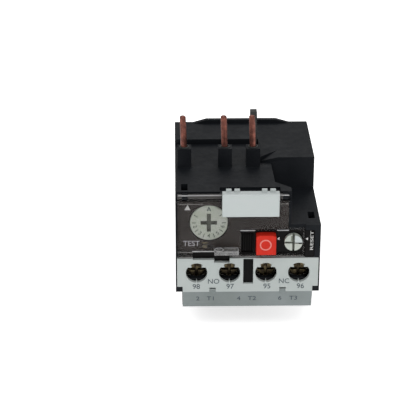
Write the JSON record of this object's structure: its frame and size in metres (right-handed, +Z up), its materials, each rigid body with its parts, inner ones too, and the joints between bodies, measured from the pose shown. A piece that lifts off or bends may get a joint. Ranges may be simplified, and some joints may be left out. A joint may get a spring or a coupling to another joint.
{
  "type": "thermal overload relay",
  "caption": "Motor overload relay that plugs in under a contactor by three copper pins, with a setting dial, stop and reset buttons, auxiliary contacts and screw terminals.",
  "frame": {"origin": "middle of the footprint, on the plane of the underside", "axes": "+X right, -Y towards the operator's face with the dial and buttons, +Z up along the line pins"},
  "size_m": [0.045, 0.0636, 0.0641],
  "materials": {
    "black_casing": "fine matt moulded thermoplastic",
    "black_panel": "fine matt moulded thermoplastic",
    "black_inner": "plain moulded thermoset",
    "brown_scale": "printed plastic sheet",
    "white_cover": "fine matt moulded thermoplastic, pale grey-white",
    "steel": "drawn wire and pins",
    "plated_screws": "yellow passivated zinc",
    "plated_steel": "yellow passivated zinc",
    "dark_hook": "dark grey moulded thermoplastic",
    "clear_plastic": "clear moulded polycarbonate",
    "pale_dial": "satin greenish grey-white",
    "natural_plastic": "natural unpigmented moulding",
    "red_button": "satin signal red",
    "brown_slide": "moulded thermoplastic",
    "bimetal": "rolled strip",
    "contact_silver": "silver alloy contacts on bronze",
    "green_flag": "moulded thermoplastic",
    "brass_strip": "stamped strip",
    "copper": "drawn copper, dulled brown-red",
    "heater_wire": "resistance wire, heat tinted"
  },
  "bodies": {
    "casing": {"main_housing": "black_casing", "back_cover": "black_casing", "front_cover": "black_panel", "scale_plate": "brown_scale", "terminal_cover": "white_cover", "cover_pin": "steel", "lever_pin": "steel", "mechanism_base": "black_inner", "aux_screws": "plated_screws", "aux_clamps": "plated_steel", "load_screws": "plated_screws", "load_clamps": "plated_steel", "contactor_hook": "dark_hook", "pole_carrier": "black_inner", "rocker_pin": "steel", "aux_terminal_95": "brass_strip", "aux_terminal_96": "brass_strip", "aux_terminal_97": "brass_strip", "aux_terminal_98": "brass_strip", "line_pin_1": "copper", "line_pin_2": "copper", "line_pin_3": "copper", "line_strap_1": "copper", "line_strap_2": "copper", "line_strap_3": "copper", "load_terminal_1": "copper", "load_terminal_2": "copper", "load_terminal_3": "copper", "stop_spring": "steel", "reset_spring": "steel", "test_spring": "steel"},
    "lid": {"clear_cover": "clear_plastic", "marker_plate": "white_cover"},
    "dial": {"current_dial": "pale_dial", "adjusting_cam": "pale_dial"},
    "lever": {"cam_lever": "natural_plastic"},
    "stop": {"stop_button": "red_button"},
    "reset": {"reset_plunger": "pale_dial"},
    "reset_knob": {"reset_dial": "pale_dial"},
    "test": {"test_slide": "brown_slide"},
    "slide": {"trip_slide": "natural_plastic"},
    "rocker": {"trip_rocker": "natural_plastic", "compensating_strip": "bimetal", "contact_bridge_nc": "contact_silver", "contact_bridge_no": "contact_silver"},
    "flag": {"trip_flag": "green_flag"},
    "bimetal_1": {"bimetal_strip_1": "bimetal", "heater_winding_1": "heater_wire"},
    "bimetal_2": {"bimetal_strip_2": "bimetal", "heater_winding_2": "heater_wire"},
    "bimetal_3": {"bimetal_strip_3": "bimetal", "heater_winding_3": "heater_wire"}
  },
  "joints": [
    {"name": "lid_hinge", "type": "hinge", "parent": "casing", "child": "lid", "pos_m": [0, -0.0278, 0.04755], "axis": [-1, 0, 0], "range_deg": [0, 90]},
    {"name": "dial_turn", "type": "hinge", "parent": "casing", "child": "dial", "pos_m": [-0.0122, -0.0275, 0.03865], "axis": [0, 1, 0], "range_deg": [-135, 135]},
    {"name": "lever_tilt", "type": "hinge", "parent": "casing", "child": "lever", "pos_m": [-0.0046, -0.0202, 0.031], "axis": [0, 1, 0], "range_deg": [-6, 6]},
    {"name": "stop_press", "type": "slide", "parent": "casing", "child": "stop", "axis": [0, 1, 0], "range_m": [0, 0.002], "stiffness_N_per_m": 400, "springref_m": -0.0006, "deforming": ["stop_spring"]},
    {"name": "reset_press", "type": "slide", "parent": "casing", "child": "reset", "axis": [0, 1, 0], "range_m": [0, 0.002], "stiffness_N_per_m": 400, "springref_m": -0.0006, "deforming": ["reset_spring"]},
    {"name": "reset_turn", "type": "hinge", "parent": "reset", "child": "reset_knob", "pos_m": [0.01405, -0.0282, 0.0323], "axis": [0, 1, 0], "range_deg": [0, 90]},
    {"name": "test_push", "type": "slide", "parent": "casing", "child": "test", "axis": [1, 0, 0], "range_m": [0, 0.0015], "stiffness_N_per_m": 150, "springref_m": -0.0006, "deforming": ["test_spring"]},
    {"name": "trip_motion", "type": "slide", "parent": "casing", "child": "slide", "axis": [-1, 0, 0], "range_m": [0, 0.0015], "stiffness_N_per_m": 120, "springref_m": -0.0005},
    {"name": "bimetal_1_bend", "type": "hinge", "parent": "casing", "child": "bimetal_1", "pos_m": [-0.013, 0.0143, 0.013], "axis": [0, -1, 0], "range_deg": [0, 3.79]},
    {"name": "bimetal_2_bend", "type": "hinge", "parent": "casing", "child": "bimetal_2", "pos_m": [0, 0.0143, 0.013], "axis": [0, -1, 0], "range_deg": [0, 3.79]},
    {"name": "bimetal_3_bend", "type": "hinge", "parent": "casing", "child": "bimetal_3", "pos_m": [0.013, 0.0143, 0.013], "axis": [0, -1, 0], "range_deg": [0, 3.79]},
    {"name": "rocker_turn", "type": "hinge", "parent": "casing", "child": "rocker", "pos_m": [0, -0.0082, 0.0216], "axis": [0, -1, 0], "range_deg": [0, 6.02]},
    {"name": "flag_motion", "type": "slide", "parent": "casing", "child": "flag", "axis": [-1, 0, 0], "range_m": [0, 0.0015]}
  ],
  "couplings": [
    {"joint": "bimetal_1_bend", "follows": "trip_motion", "rad_per_m": 43.478},
    {"joint": "bimetal_2_bend", "follows": "trip_motion", "rad_per_m": 43.478},
    {"joint": "bimetal_3_bend", "follows": "trip_motion", "rad_per_m": 43.478},
    {"joint": "rocker_turn", "follows": "trip_motion", "rad_per_m": 69.444},
    {"joint": "flag_motion", "follows": "trip_motion", "ratio": 1},
    {"joint": "lever_tilt", "follows": "dial_turn", "ratio": 0.03979}
  ]
}
